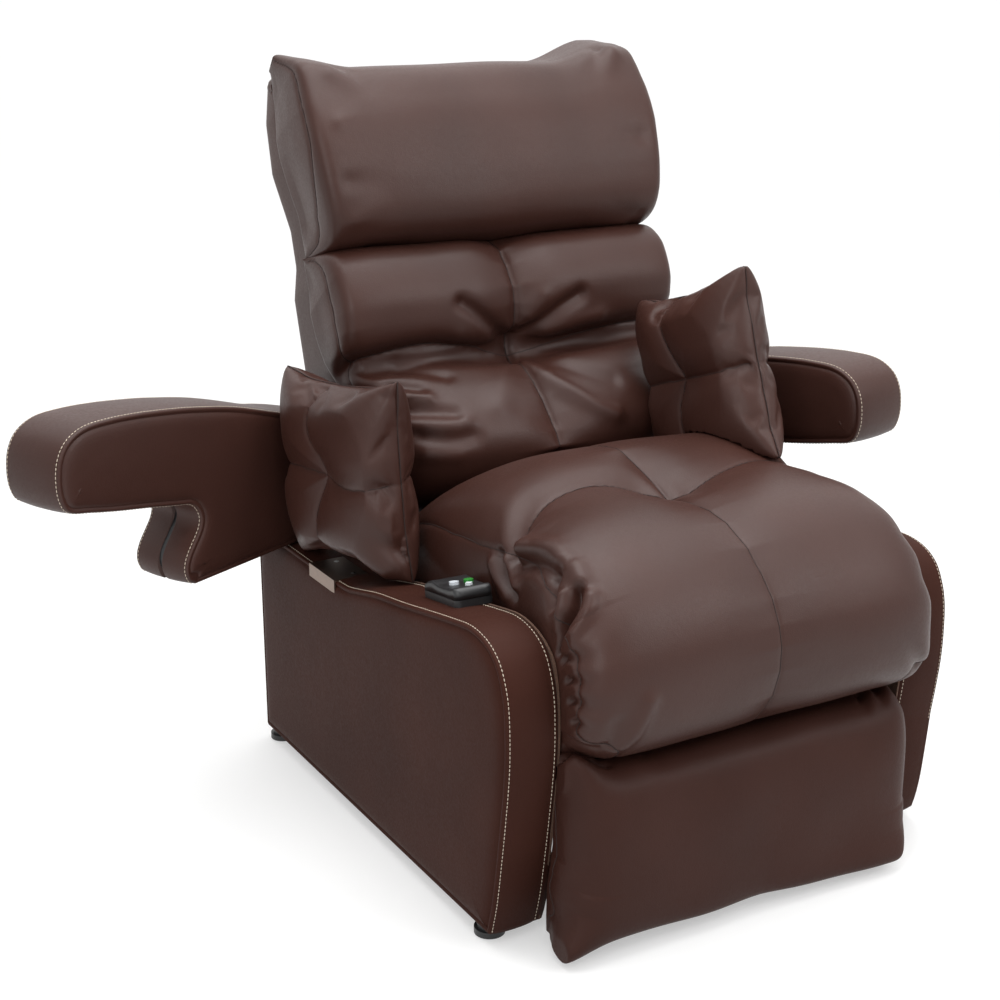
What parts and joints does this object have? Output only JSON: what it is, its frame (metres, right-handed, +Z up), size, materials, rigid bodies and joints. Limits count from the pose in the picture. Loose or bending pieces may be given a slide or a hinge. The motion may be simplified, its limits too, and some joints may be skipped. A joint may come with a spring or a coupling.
{
  "type": "riser recliner",
  "caption": "Riser recliner on a lifting base, with a leaning back and head cushion, a padded leg rest, swing-out padded arms, loose pillows and a corded handset.",
  "frame": {"origin": "underside of the middle floor pad, under the base's front rail, on the chair's middle plane", "axes": "+X across the chair, to the right as seen from the front, the chair faces -Y, +Z up; left and right in the names are as seen from the front"},
  "size_m": [1.3326, 0.9965, 1.1347],
  "materials": {
    "leather": "satin",
    "lining": "matte",
    "webbing": "matte",
    "board": "matte",
    "steel_paint": "satin",
    "bright_steel": "satin",
    "plate_steel": "satin",
    "black_plastic": "satin",
    "motor_plastic": "matte",
    "glide_rubber": "matte",
    "button_silver": "satin",
    "button_green": "satin",
    "button_white": "satin",
    "cord_rubber": "satin"
  },
  "bodies": {
    "base": {"base_frame": "steel_paint", "floor_glides": "glide_rubber", "lift_pivot_pins": "bright_steel"},
    "lift_links": {"lift_arms": "steel_paint", "lift_top_pins": "bright_steel"},
    "lift_motor_body": {"lift_motor": "motor_plastic"},
    "lift_rod_body": {"lift_rod": "bright_steel"},
    "carriage": {"carriage_frame": "steel_paint", "seat_frame": "steel_paint", "seat_webbing": "webbing", "side_board_left": "board", "side_board_right": "board", "side_panel_left": "leather", "side_panel_right": "leather", "side_lining_left": "lining", "side_lining_right": "lining", "panel_feet": "black_plastic", "panel_brackets": "steel_paint", "rear_panel": "leather", "power_inlet": "black_plastic", "control_box": "black_plastic", "seat_cushion": "leather", "knee_cushion": "leather", "pillow_left": "leather", "pillow_right": "leather", "arm_post_left": "bright_steel", "arm_post_right": "bright_steel", "latch_plate_left": "plate_steel", "latch_plate_right": "plate_steel", "plate_screws": "bright_steel", "handset_base": "black_plastic", "handset_cover": "black_plastic", "handset_cord": "cord_rubber"},
    "back": {"back_frame": "steel_paint", "back_webbing": "webbing", "back_shell": "leather", "back_cushion": "leather", "head_cushion": "leather", "back_hinge_pins": "bright_steel"},
    "back_motor_body": {"back_motor": "motor_plastic"},
    "back_rod_body": {"back_rod": "bright_steel"},
    "legrest": {"legrest_frame": "steel_paint", "legrest_board": "board", "calf_pad": "leather", "leg_hinge_pins": "bright_steel"},
    "leg_motor_body": {"leg_motor": "motor_plastic"},
    "leg_rod_body": {"leg_rod": "bright_steel"},
    "left_arm": {"arm_left": "leather", "arm_bush_left": "bright_steel", "arm_closure_left": "black_plastic"},
    "right_arm": {"arm_right": "leather", "arm_bush_right": "bright_steel", "arm_closure_right": "black_plastic"},
    "raise_button": {"button_raise": "button_silver"},
    "lower_button": {"button_lower": "button_green"},
    "home_button": {"button_home": "button_white"}
  },
  "joints": [
    {"name": "lift", "type": "hinge", "parent": "base", "child": "lift_links", "pos_m": [0, 0.21, 0.06], "axis": [1, 0, 0], "range_deg": [0, 50]},
    {"name": "carriage_tilt", "type": "hinge", "parent": "lift_links", "child": "carriage", "pos_m": [0, 0.56, 0.09], "axis": [1, 0, 0], "range_deg": [-32.1, 0]},
    {"name": "lift_motor_tilt", "type": "hinge", "parent": "base", "child": "lift_motor_body", "pos_m": [0, 0.66, 0.068], "axis": [1, 0, 0], "range_deg": [-8.3, 0]},
    {"name": "lift_rod_slide", "type": "slide", "parent": "lift_motor_body", "child": "lift_rod_body", "axis": [0, -0.991, 0.134], "range_m": [0, 0.0866]},
    {"name": "back_recline", "type": "hinge", "parent": "carriage", "child": "back", "pos_m": [0, 0.56, 0.41], "axis": [-1, 0, 0], "range_deg": [0, 40]},
    {"name": "back_motor_tilt", "type": "hinge", "parent": "carriage", "child": "back_motor_body", "pos_m": [0.11, 0.235, 0.205], "axis": [1, 0, 0], "range_deg": [0, 10.9]},
    {"name": "back_rod_slide", "type": "slide", "parent": "back_motor_body", "child": "back_rod_body", "axis": [0, 0.9728, 0.2316], "range_m": [-0.0697, 0]},
    {"name": "leg_raise", "type": "hinge", "parent": "carriage", "child": "legrest", "pos_m": [0, 0, 0.35], "axis": [-1, 0, 0], "range_deg": [0, 75], "deforming": ["knee_cushion"]},
    {"name": "leg_motor_tilt", "type": "hinge", "parent": "carriage", "child": "leg_motor_body", "pos_m": [-0.11, 0.4, 0.23], "axis": [1, 0, 0], "range_deg": [-10.5, 0]},
    {"name": "leg_rod_slide", "type": "slide", "parent": "leg_motor_body", "child": "leg_rod_body", "axis": [0, -1, 0], "range_m": [0, 0.1256]},
    {"name": "left_arm_swing", "type": "hinge", "parent": "carriage", "child": "left_arm", "pos_m": [-0.319, 0.685, 0.386], "axis": [0, 0, 1], "range_deg": [0, 64.5], "deforming": ["pillow_left"]},
    {"name": "right_arm_swing", "type": "hinge", "parent": "carriage", "child": "right_arm", "pos_m": [0.319, 0.685, 0.386], "axis": [0, 0, 1], "range_deg": [-11, 53.5]},
    {"name": "raise_press", "type": "slide", "parent": "carriage", "child": "raise_button", "axis": [-0.009, -0.1717, -0.9851], "range_m": [0, 0.0015], "stiffness_N_per_m": 300, "springref_m": -0.002},
    {"name": "lower_press", "type": "slide", "parent": "carriage", "child": "lower_button", "axis": [-0.009, -0.1717, -0.9851], "range_m": [0, 0.0015], "stiffness_N_per_m": 300, "springref_m": -0.002},
    {"name": "home_press", "type": "slide", "parent": "carriage", "child": "home_button", "axis": [-0.009, -0.1717, -0.9851], "range_m": [0, 0.0015], "stiffness_N_per_m": 300, "springref_m": -0.002}
  ],
  "couplings": [
    {"joint": "carriage_tilt", "follows": "lift", "ratio": -0.64},
    {"joint": "lift_motor_tilt", "follows": "lift", "ratio": -0.1642},
    {"joint": "lift_rod_slide", "follows": "lift", "m_per_rad": 0.09901},
    {"joint": "back_motor_tilt", "follows": "back_recline", "ratio": 0.271},
    {"joint": "back_rod_slide", "follows": "back_recline", "m_per_rad": -0.09955},
    {"joint": "leg_motor_tilt", "follows": "leg_raise", "ratio": -0.138},
    {"joint": "leg_rod_slide", "follows": "leg_raise", "m_per_rad": 0.09572}
  ]
}
